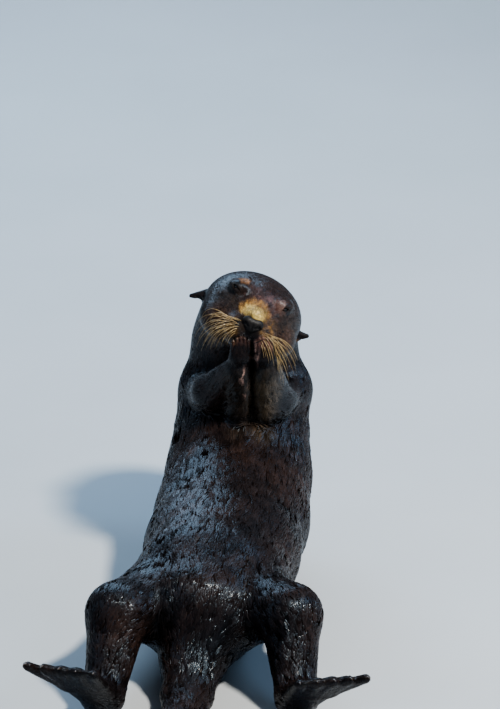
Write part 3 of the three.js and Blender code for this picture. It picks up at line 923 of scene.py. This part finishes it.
def strands(name, paths, radii, sides=5):
    """Tapered closed bristles, each along its own row of points."""
    paths = np.asarray(paths)
    count, stations = paths.shape[:2]
    along = np.gradient(paths, axis=1)
    along /= np.linalg.norm(along, axis=2, keepdims=True)
    across = np.cross(along, (0.3, 0.2, 1))
    across /= np.linalg.norm(across, axis=2, keepdims=True)
    over = np.cross(along, across)
    angles = np.arange(sides) * 2 * math.pi / sides
    rings = np.cos(angles)[:, None] * across[:, :, None]
    rings = rings + np.sin(angles)[:, None] * over[:, :, None]
    corners = paths[:, :, None] + rings * np.asarray(radii)[:, :, None, None]
    starts = np.arange(count)[:, None, None] * stations * sides
    walls = (starts + tube_walls(stations, sides)).reshape(-1, 4)
    n = np.arange(sides)
    ends = np.stack([n[::-1], (stations - 1) * sides + n])
    return piece_of(name, corners.reshape(-1, 3), [walls, (starts + ends).reshape(-1, sides)])


WHISKER_STATIONS = 14
WHISKER_ROWS, WHISKERS_IN_ROW = 6, 7

# On each side: how far out the innermost roots stand in millimetres, how long the whiskers are
# and how much they droop.
WHISKER_PADS = {-1: (19, 1.08, 0.95), 1: (23, 0.76, 1.25)}
rng = np.random.default_rng(11)
down = in_head(HEAD_AT + np.array([0, 0, -1.0]))
paths, radii = [], []
for s, (aside, longer, limp) in WHISKER_PADS.items():
    for row in range(WHISKER_ROWS):
        for column in range(WHISKERS_IN_ROW):
            height = 4 - 4.4 * row - 0.6 * column
            root = at(s * (aside + 3.8 * column), -114 + 2.6 * column, height)
            root += rng.normal(scale=0.0007, size=3)
            root = in_head(settled(skin_form, from_head(root)[None], rounds=6)[0])
            length = (0.042 + 0.0035 * column - 0.0048 * row) * rng.uniform(0.85, 1.15)
            length *= longer
            out = np.array([s * (0.80 + 0.05 * column), -0.46 + 0.06 * column, 0.36 - 0.20 * row])
            out = unit(unit(out) + rng.normal(scale=0.06, size=3))
            droop = down * (limp + 0.05 * row) + np.array([0, 0.18, 0])
            t = np.linspace(0, 1, WHISKER_STATIONS)[:, None]
            path = t * out + 0.62 * t**2 * droop - 0.22 * t**3 * out
            path = from_head(root - out * 0.0012 + length * path)
            clear = 0.0030 * ramp(t[:, 0], 0.1, 0.3)
            sunk = np.maximum(clear - skin_form(path), 0) * (t[:, 0] > 0.1)
            path += slopes(skin_form, path, 0.003) * sunk[:, None]
            for _ in range(3):
                path[1:-1] += 0.5 * ((path[:-2] + path[2:]) / 2 - path[1:-1])
            paths.append(path)
            radii.append((0.00052 - 0.00038 * t[:, 0]) * rng.uniform(0.8, 1.1))
whiskers = strands("whiskers", paths, radii)
pale_bristle, tree, shader = material("pale_bristle", Roughness=0.32, Coat_Weight=0.3)
fleck = noise(tree, on_object(tree), 130)
two_tones(tree, shader, fleck, (0.22, 0.135, 0.05), (0.52, 0.39, 0.20), 0.3, 0.7)
bumped(tree, shader, fleck, 0.1, 0.0002)
whiskers.data.materials.append(pale_bristle)
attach(whiskers, "root")


# ---- Claws ----------------------------------------------------------------------------------
# Short dark curved claws of horn, one near the tip of each finger and each webbed toe. Each is a
# tapered round horn with its root in the skin, bent towards the pad.

CLAW_STATIONS = 7


def claw_path(root, way, bend, length):
    t = np.linspace(0, 1, CLAW_STATIONS)[:, None]
    return root + length * (way * t + 0.35 * bend * t**2)


dark_horn, tree, shader = material("dark_horn", Roughness=0.3, Coat_Weight=0.4)
grain = noise(tree, on_object(tree), 420, 4, (1, 1, 0.25))
two_tones(tree, shader, grain, (0.016, 0.011, 0.009), (0.14, 0.10, 0.075))
bumped(tree, shader, grain, 0.2, 0.0003)
TOE_CLAW, FINGER_CLAW = 0.0125, 0.0046
finger_claw_root = np.array([0, -0.0020, -0.0002])
finger_claw_way = unit(np.array([0, 0.25, 0.8]))
finger_claw_bend = np.array([0, 1.6, -0.4])

for s, side in SIDES.items():
    _, way, across = foot_way(s)
    over = np.cross(across, way) * s
    over = over if over[2] > 0 else -over
    toes = []
    for toe in range(TOES):
        root, tip = toe_line(s, toe)
        toes.append(claw_path(tip + 0.0025 * over, unit(tip - root), -over, TOE_CLAW))
    fingers = []
    for finger in range(FINGERS):
        root = finger_line(s, finger)[1] + finger_claw_root
        fingers.append(claw_path(root, finger_claw_way, finger_claw_bend, FINGER_CLAW))
    t = np.linspace(0, 1, CLAW_STATIONS)
    for name, claws, thick, slot in (
        ("_toe_claws", toes, 0.0021, "foot_fur"),
        ("_finger_claws", fingers, 0.0010, "paw_fur"),
    ):
        thickness = np.tile(thick * (1 - t**1.6) + 0.0002, (len(claws), 1))
        piece = strands(side + name, claws, thickness, 8)
        piece.data.materials.append(dark_horn)
        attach(piece, "root")


# ---- Coat -----------------------------------------------------------------------------------
# Wet guard hairs hang together in flat pointed locks, each a thin closed blade with its root in
# the skin. They run back from the nose and out along the limbs, draw together at their tips, and
# are long on the trunk and shortest on the face, paws and feet.

# The ways that the coat runs: from the nose over the head and along the spine, and down each limb.
# Each station is a place and how far the skin lies around it, in metres.
head_stations = [
    (from_head(at(0, -106, -8)), 0.018),
    (from_head(at(0, -70, -6)), 0.042),
    (from_head(at(0, -10, 0)), 0.064),
    (from_head(at(0, 34, -14)), 0.066),
]
spine_stations = [(spot(*a), (wide + thick) / 2000) for a, wide, thick in SPINE[1:] + TAIL[1:]]
ROUTES = [head_stations + spine_stations]
for s in (-1, 1):
    fingertips = forelimb_spot(s, -12, 137, 380)
    places = [shoulder_joint(s), elbow_joint(s), wrist_joint(s), fingertips]
    ROUTES.append(list(zip(places, (0.036, 0.030, 0.017, 0.010))))
for s in (-1, 1):
    heel, way = foot_way(s)[:2]
    knee, ball, end = spot(*HIND[s][0]), heel + 0.5 * FOOT_LENGTH * way, heel + FOOT_LENGTH * way
    places = [hip_joint(s), knee, heel, ball, end]
    ROUTES.append(list(zip(places, (0.060, 0.044, 0.026, 0.016, 0.010))))

stretches = [
    (number, a, b, reach_a, reach_b)
    for number, route in enumerate(ROUTES)
    for (a, reach_a), (b, reach_b) in zip(route, route[1:])
]
stretch_route = np.array([one[0] for one in stretches])
stretch_start = np.array([one[1] for one in stretches])
stretch_span = np.array([one[2] - one[1] for one in stretches])
stretch_reach = np.array([one[3:] for one in stretches])
stretch_length = np.linalg.norm(stretch_span, axis=1)
stretch_way = stretch_span / stretch_length[:, None]
HEAD_STRETCHES = len(head_stations)
FIRST = np.array([np.flatnonzero(stretch_route == n)[0] for n in range(len(ROUTES))])
stretch_from = np.cumsum(stretch_length) - stretch_length
stretch_from -= stretch_from[FIRST][stretch_route]
route_length = np.bincount(stretch_route, stretch_length)
NOSE = from_head(NOSE_TIP)


def along_routes(p):
    """For each point and stretch: how far the point is from being its skin, and how far along
    the stretch it lies, from 0 to 1."""
    d = p[:, None] - stretch_start
    t = np.clip((d * stretch_span).sum(axis=2) / stretch_length**2, 0, 1)
    reach = stretch_reach[:, 0] + (stretch_reach[:, 1] - stretch_reach[:, 0]) * t
    out = np.linalg.norm(d - stretch_span * t[:, :, None], axis=2) - reach
    body = np.minimum(torso(p), placed_face(p))
    flesh = [body] + [form(p) for form in (*forelimbs.values(), *hind_limbs.values())]
    for number, far in enumerate(flesh):
        own = stretch_route == number
        out[:, own] += (far - out[:, own].min(axis=1))[:, None]
    return out, t


def on_route(p):
    """The stretch and the route that each point lies on, and how far along the route it lies,
    from 0 to 1."""
    out, t = along_routes(p)
    nearest = out.argmin(axis=1)
    rows = np.arange(len(p))
    route = stretch_route[nearest]
    along = stretch_from[nearest] + t[rows, nearest] * stretch_length[nearest]
    return nearest, route, along / route_length[route]


WHIRL = 0.014  # how widely neighbouring stretches share the lie


def lie_of_coat(p):
    """The way that the coat runs at the points, before it is laid on the skin."""
    out = along_routes(p)[0]
    weight = np.exp(-(out - out.min(axis=1)[:, None]) / WHIRL)
    way = weight[:, HEAD_STRETCHES:] @ stretch_way[HEAD_STRETCHES:]
    away = p - NOSE
    away = away / np.linalg.norm(away, axis=1)[:, None]
    way += away * weight[:, :HEAD_STRETCHES].sum(axis=1)[:, None]
    return way


def laid_flat(way, out):
    way = way - out * (way * out).sum(axis=1)[:, None]
    return way / np.maximum(np.linalg.norm(way, axis=1), 1e-9)[:, None]


# Where each route's part of the unwrap lies on the map: its corner, width and height. The head
# and spine fill the lower half, and each limb a quarter of the upper one.
CHARTS = [(0.0, 0.0, 1.0, 0.5)] + [(0.25 * limb_number, 0.5, 0.25, 0.5) for limb_number in range(4)]
PATCH = 0.003  # how wide and high each lock's place on the map is


def unwrapped(p):
    """Where the points lie on an unwrap of the skin: along each route, and around it."""
    nearest, route, along = on_route(p)
    way = stretch_way[nearest]
    d = p - stretch_start[nearest]
    side = np.cross(way, (0.13, 0.98, 0.15))
    side /= np.linalg.norm(side, axis=1)[:, None]
    over = np.cross(way, side)
    around = np.arctan2((d * side).sum(axis=1), (d * over).sum(axis=1)) / (2 * math.pi) + 0.5
    chart = np.array(CHARTS)[route]
    place = np.stack([along, around], axis=1) * (1 - 4 * PATCH) + 2 * PATCH
    return chart[:, :2] + place * chart[:, 2:]


def scattered(corners, faces, density, seed):
    """Random places on a surface, as thick as `density` says, per square metre."""
    rng = np.random.default_rng(seed)
    tris = np.vstack([faces[0], faces[1][:, :3], faces[1][:, [0, 2, 3]]])
    a, b, c = corners[tris[:, 0]], corners[tris[:, 1]], corners[tris[:, 2]]
    area = np.linalg.norm(np.cross(b - a, c - a), axis=1) / 2
    share = np.cumsum(area * density((a + b + c) / 3))
    count = int(share[-1])
    pick = np.searchsorted(share, np.arange(count) + rng.uniform(0, 1, count))
    pick = np.minimum(pick, len(tris) - 1)
    u, v = rng.uniform(0, 1, (2, count, 1))
    over = (u + v) > 1
    u, v = np.where(over, 1 - u, u), np.where(over, 1 - v, v)
    return a[pick] + u * (b[pick] - a[pick]) + v * (c[pick] - a[pick])


def nearest_of(places, seeds):
    """The index of the seed nearest to each place."""
    tree = kdtree.KDTree(len(seeds))
    for number, seed in enumerate(seeds):
        tree.insert(seed, number)
    tree.balance()
    return np.array([tree.find(place)[1] for place in places])


wet_fur, tree, shader = material(
    "wet_fur",
    Coat_Weight=0.10,
    Coat_Roughness=0.10,
    Specular_IOR_Level=0.33,
    IOR=1.4,
    Specular_Tint=(0.56, 0.78, 1.0, 1),
)
hair_map = tree.nodes.new("ShaderNodeUVMap")
hair_map.uv_map = "hair"
hairs = noise(tree, hair_map.outputs["UV"], 3.0, 3, (0.7, 0.06, 1))
wetness = noise(tree, hair_map.outputs["UV"], 0.4, 2, (1, 0.2, 1))
coloured(tree, shader, attribute(tree, "coat").outputs["Color"], mapped(tree, hairs, 0.55, 1.5))
roughened(tree, shader, wetness, 0.14, 0.48)
bumped(tree, shader, hairs, 0.6, 0.0006)

MOST_MOVE = 0.003  # of a lock's station as it is laid on the skin
ROOT_DEPTH = 0.0004
LOWEST_STATION, LOWEST_CORNER = 0.0004, 0.0001  # over the floor
TAPER = (0.85, 1.0)  # a lock's width at each of its stations, before the tip
RIDGE = 0.17  # the height of a lock's back, as a share of its width
STEPS = len(TAPER)


def locks(name, roots, length, width, lift, stand, clump, pull, seed):
    """Blades of hair from roots on the skin. Each has its own length and width in metres, how
    high its back lies over the skin, and how much its tip stands out. One in `clump` of them
    leads those around it, whose tips are drawn to its own as strongly as `pull` says."""
    rng = np.random.default_rng(seed)
    count = len(roots)
    length = length * rng.uniform(0.65, 1.3, count)
    width = width * rng.uniform(0.7, 1.3, count)
    place = settled(skin_form, roots, rounds=1)
    out = slopes(skin_form, place)
    out /= np.linalg.norm(out, axis=1)[:, None]
    way = laid_flat(lie_of_coat(place), out)
    turn = 0.3 * drift(place, 0.03, seed + 1) + rng.normal(scale=0.10, size=count)
    way = laid_flat(way + np.cross(out, way) * turn[:, None], out)
    spine, outs = [place - out * ROOT_DEPTH], [out]
    for step in range(1, STEPS + 1):
        share = step / STEPS
        way = laid_flat(way + 0.35 * laid_flat(lie_of_coat(place), out), out)
        place = place + way * (length / STEPS)[:, None]
        slope = slopes(skin_form, place)
        size = np.maximum((slope**2).sum(axis=1), LEAST_SLOPE)
        height = lift * math.sin(share * 2.7) + stand * share**2
        off = np.clip((skin_form(place) - height) / np.sqrt(size), -MOST_MOVE, MOST_MOVE)
        place = place - slope * (off / np.sqrt(size))[:, None]
        out = slope / np.sqrt(size)[:, None]
        spine.append(place)
        outs.append(out)
    spine, outs = np.array(spine), np.array(outs)
    chosen = rng.permutation(count)[: max(1, int(count / clump))]
    leader = chosen[nearest_of(spine[0], spine[0][chosen])]
    for step in range(1, STEPS + 1):
        share = pull * (step / STEPS) ** 1.4
        drawn = spine[step][leader] - spine[step]
        most = 0.5 * length / np.maximum(np.linalg.norm(drawn, axis=1), 1e-9)
        spine[step] += drawn * (share * np.minimum(most, 1))[:, None]
    steps_long = np.linalg.norm(np.diff(spine, axis=0), axis=2) * STEPS / length
    whole = ((steps_long > 0.35) & (steps_long < 1.6)).all(axis=0)
    roll = rng.normal(scale=0.06 + 80 * width)[leader][whole, None]
    shade = rng.uniform(0.65, 1.5, count)[leader][whole, None]
    shade = shade * rng.uniform(0.85, 1.2, (whole.sum(), 1))
    spine, outs = spine[:, whole], outs[:, whole]
    roots, length, width = roots[whole], length[whole], width[whole]
    count = len(roots)
    spine[:, :, 2] = np.maximum(spine[:, :, 2], LOWEST_STATION)
    rings = []
    for step in range(STEPS):
        ahead = spine[step + 1] - spine[max(step - 1, 0)]
        side = np.cross(ahead, outs[step])
        side /= np.maximum(np.linalg.norm(side, axis=1), 1e-9)[:, None]
        half = side * np.cos(roll) + outs[step] * np.sin(roll)
        half = half * (width * TAPER[step] / 2)[:, None]
        back = outs[step] * np.cos(roll) - side * np.sin(roll)
        back = back * (width * TAPER[step] * RIDGE)[:, None]
        rings += [spine[step] - half, spine[step] + half, spine[step] + back]
    corners = np.stack(rings + [spine[-1]], axis=1)
    corners[:, :, 2] = np.maximum(corners[:, :, 2], LOWEST_CORNER)
    per = 3 * STEPS + 1
    last = 3 * STEPS - 3
    points = [[last + a, last + b, per - 1] for a, b in ((0, 1), (1, 2), (2, 0))] + [[0, 2, 1]]
    starts = np.arange(count)[:, None, None] * per
    walls = starts + tube_walls(STEPS, 3)
    faces = [(starts + np.array(points)).reshape(-1, 3), walls.reshape(-1, 4)]
    tint = markings(roots) * shade
    along = np.append(np.repeat(np.arange(STEPS), 3), STEPS) / STEPS
    colour = tint[:, None] * (0.85 + 0.3 * along)[None, :, None]
    coat = piece_of(name, corners.reshape(-1, 3), faces, coat=colour.reshape(-1, 3))
    ends = np.empty(2 * len(coat.data.edges), dtype=np.int32)
    coat.data.edges.foreach_get("vertices", ends)
    ends = ends.reshape(-1, 2) % per
    in_ring = np.where(ends == per - 1, -1, ends % 3)
    lengthways = (in_ring[:, 0] == in_ring[:, 1]) | (in_ring == -1).any(axis=1)
    on_rim = (in_ring != 2).all(axis=1) & lengthways
    rim = coat.data.attributes.new("sharp_edge", "BOOLEAN", "EDGE")
    rim.data.foreach_set("value", on_rim)
    aside = np.append(np.tile([-0.5, 0.5, 0.0], STEPS), 0)
    spread = np.stack([aside, along - 0.5], axis=1) * PATCH
    patches = (unwrapped(roots)[:, None] + spread).reshape(-1, 2)
    hair_x = aside[None] * width[:, None] * 1000 + rng.uniform(0, 90, (count, 1))
    hair_y = along[None] * length[:, None] * 1000 + rng.uniform(0, 90, (count, 1))
    hair = np.stack([hair_x, hair_y], axis=2).reshape(-1, 2)
    corner_of = np.concatenate([group.ravel() for group in faces])
    for map_name, places in (("OFBake", patches), ("hair", hair)):
        layer = coat.data.uv_layers.new(name=map_name, do_init=False)
        layer.data.foreach_set("uv", places[corner_of].astype(np.float32).ravel())
    coat.data.materials.append(wet_fur)
    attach(coat, "root")


# How thick the coat grows: densest on the head and arms, sparse on the back that lies on the
# floor. Densities are in locks per square metre.
FACE_REACH = 0.115


def from_nose(p):
    return np.linalg.norm(in_head(p) - NOSE_TIP, axis=1)


def bare(p):
    """Where no lock grows: on the nose, in the eyes and inside the ears."""
    q = in_head(p)
    hidden = patch(q, at(0, -108, 2), (17, 12, 14), 0.1)
    for s in (-1, 1):
        ear_bowl = at(s * 83, -3, -7 if s < 0 else -8)
        hidden = np.maximum(hidden, patch(q, ear_bowl, (9, 5, 4), 0.1))
        look, slit, up = eye_axes(s)
        d = q - EYES[s]
        opening = np.hypot((d @ slit) / (SLIT_HALF + 0.0008), (d @ up) / (SLIT_BELOW + 0.0012))
        hidden = np.maximum(hidden, (opening < 1) & (d @ look > 0))
    return hidden > 0.5


def on_face(p):
    return (on_route(p)[1] == 0) & (from_nose(p) < FACE_REACH)


def near_ear(p):
    q = in_head(p)
    away = [np.linalg.norm(q - at(s * 84, 5, -5), axis=1) for s in (-1, 1)]
    return np.min(away, axis=0) < 0.019


def face_density(p):
    grows = (on_face(p) | near_ear(p)) * ~bare(p)
    return grows * (1 - 0.5 * ramp(from_nose(p), 0.05, FACE_REACH)) * 900000


def arm_density(p):
    _, route, along = on_route(p)
    fingers = ramp(p[:, 2], 0.362, 0.372)
    grows = (route > 0) & (route < 3)
    return grows * (560000 + 250000 * ramp(along, 0.6, 0.8)) * (1 - 0.85 * fingers)


def leg_density(p):
    _, route, along = on_route(p)
    return (route > 2) * (120000 + 150000 * ramp(along, 0.5, 0.7))


def trunk_density(p):
    on_trunk = (on_route(p)[1] == 0) * ~on_face(p) * ~near_ear(p)
    high = ramp(p[:, 2], 0.16, 0.26)
    on_head = 1 - ramp(np.linalg.norm(in_head(p), axis=1), 0.08, 0.13)
    on_floor = ramp(-p[:, 2], -0.03, 0.0)
    return on_trunk * (1 - 0.6 * on_floor) * (105000 + 75000 * high + 190000 * on_head)


MOST_TRIANGLES = 190000  # in one piece of the coat


def grown(name, roots, length, width, lift, stand, clump, pull, seed):
    """Locks from the roots, in as many pieces as their triangles need, from tail to head."""
    count = len(roots)
    values = [np.broadcast_to(value, count) for value in (length, width, lift, stand, pull)]
    pieces = -(-count * (6 * STEPS - 2) // MOST_TRIANGLES)
    order = np.argsort(roots[:, 1], kind="stable") if pieces > 1 else np.arange(count)
    for number, part in enumerate(np.array_split(order, pieces)):
        long, wide, high, out, drawn = (value[part] for value in values)
        piece_name = f"{name}_{number + 1}"
        locks(piece_name, roots[part], long, wide, high, out, clump, drawn, seed + number)


roots = scattered(skin_corners, skin_faces, face_density, 21)
back = ramp(from_nose(roots), 0.02, 0.11)
ears = near_ear(roots)
length = np.where(ears, 0.0034, 0.0052 + 0.0100 * back)
width = np.where(ears, 0.0008, 0.0010 + 0.0007 * back)
lift = np.where(ears, 0.0002, 0.0004 + 0.0006 * back)
grown("coat_face", roots, length, width, lift, 0.0, 6, 0.5, 31)

roots = scattered(skin_corners, skin_faces, arm_density, 23)
end = ramp(on_route(roots)[2], 0.55, 0.80)
length, width, lift = 0.026 - 0.0205 * end, 0.0021 - 0.0011 * end, 0.0018 - 0.0013 * end
grown("coat_arms", roots, length, width, lift, 0.0006 * (1 - end), 9, 0.75 - 0.25 * end, 33)

roots = scattered(skin_corners, skin_faces, leg_density, 25)
end = ramp(on_route(roots)[2], 0.50, 0.66)
length, width, lift = 0.023 - 0.0170 * end, 0.0024 - 0.0014 * end, 0.0019 - 0.0013 * end
grown("coat_legs", roots, length, width, lift, 0.0006 * (1 - end), 6, 0.6, 35)

roots = scattered(skin_corners, skin_faces, trunk_density, 24)
crown = 1 - ramp(np.linalg.norm(in_head(roots), axis=1), 0.08, 0.14)
length, width, lift = 0.026 - 0.011 * crown, 0.0026 - 0.0010 * crown, 0.0020 - 0.0010 * crown
grown("coat_trunk", roots, length, width, lift, 0.0006 * (1 - crown), 6, 0.6 - 0.15 * crown, 34)


# ---- Floor and light ------------------------------------------------------------------------
# The otter lies on its back on a plain pale floor. A small warm light stands high in front of it,
# and broad bluish ones behind it and at its sides give the wet coat its sheen.

floor_corners = [(x, y, 0) for x, y in ((-6, -6), (6, -6), (6, 8), (-6, 8))]
floor = piece_of("floor", floor_corners, [[(0, 1, 2, 3)]])
pale_floor, tree, shader = material("pale_floor", Roughness=0.8)
mottle = noise(tree, on_object(tree), 3)
two_tones(tree, shader, mottle, (0.49, 0.52, 0.55), (0.52, 0.55, 0.58), 0.3, 0.7)
floor.data.materials.append(pale_floor)


def soft_light(name, place, size, power, colour):
    """A round soft light turned to the head."""
    light = bpy.data.objects.new(name, bpy.data.lights.new(name, "AREA"))
    light.data.shape = "DISK"
    light.data.size = size
    light.data.energy = power
    light.data.color = colour
    light.location = place
    light.rotation_euler = (ear_line - Vector(place)).to_track_quat("-Z", "Y").to_euler()
    bpy.context.scene.collection.objects.link(light)


soft_light("key_light", (1.25, -0.75, 2.75), 0.35, 120, (1.0, 0.95, 0.86))
soft_light("sky_light", (-0.6, 2.2, 1.9), 2.0, 52, (0.55, 0.77, 1.0))
soft_light("left_light", (2.3, 0.7, 1.9), 1.2, 26, (0.45, 0.70, 1.0))
soft_light("right_light", (-2.4, -0.2, 2.1), 1.0, 9, (0.55, 0.76, 1.0))
world = bpy.data.worlds.new("studio")
bpy.context.scene.world = world
world.use_nodes = True
sky = world.node_tree.nodes["Background"]
sky.inputs["Color"].default_value = (0.66, 0.80, 1.0, 1)
sky.inputs["Strength"].default_value = 0.19
